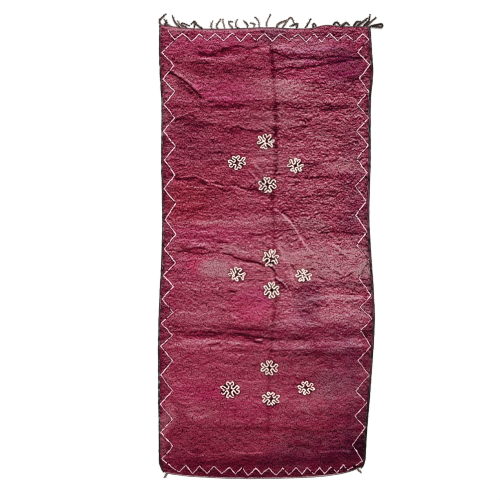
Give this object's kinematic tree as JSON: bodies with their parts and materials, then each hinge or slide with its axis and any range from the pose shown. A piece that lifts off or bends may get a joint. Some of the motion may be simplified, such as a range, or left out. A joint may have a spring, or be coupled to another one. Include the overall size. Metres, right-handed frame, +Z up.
{
  "type": "beni mguild rug",
  "caption": "Long hand-knotted Berber wool pile rug lying flat, with overcast side cords, zigzag border, hooked rosettes and a loose plied fringe at one end.",
  "frame": {"origin": "on the underside, under the middle of the rug's pile field", "axes": "+Z up out of the pile, +Y along the rug towards its fringed end, +X to the right as seen from above with the fringe away"},
  "size_m": [1.9163, 3.9486, 0.0228],
  "materials": {
    "pile_wool": "matt hand-knotted wool pile, raspberry with dye bands from rose to plum",
    "selvedge_wool": "matt overcast charcoal-brown wool cord",
    "flatweave_wool": "matt flat-woven wool, dusty rose",
    "fringe_wool": "matt plied undyed wool yarn, grey-brown with some pale strands"
  },
  "bodies": {
    "root": {"pile_field": "pile_wool", "selvedge_left": "selvedge_wool", "selvedge_right": "selvedge_wool", "foot_strip": "flatweave_wool", "fringe_head": "fringe_wool"}
  },
  "joints": []
}
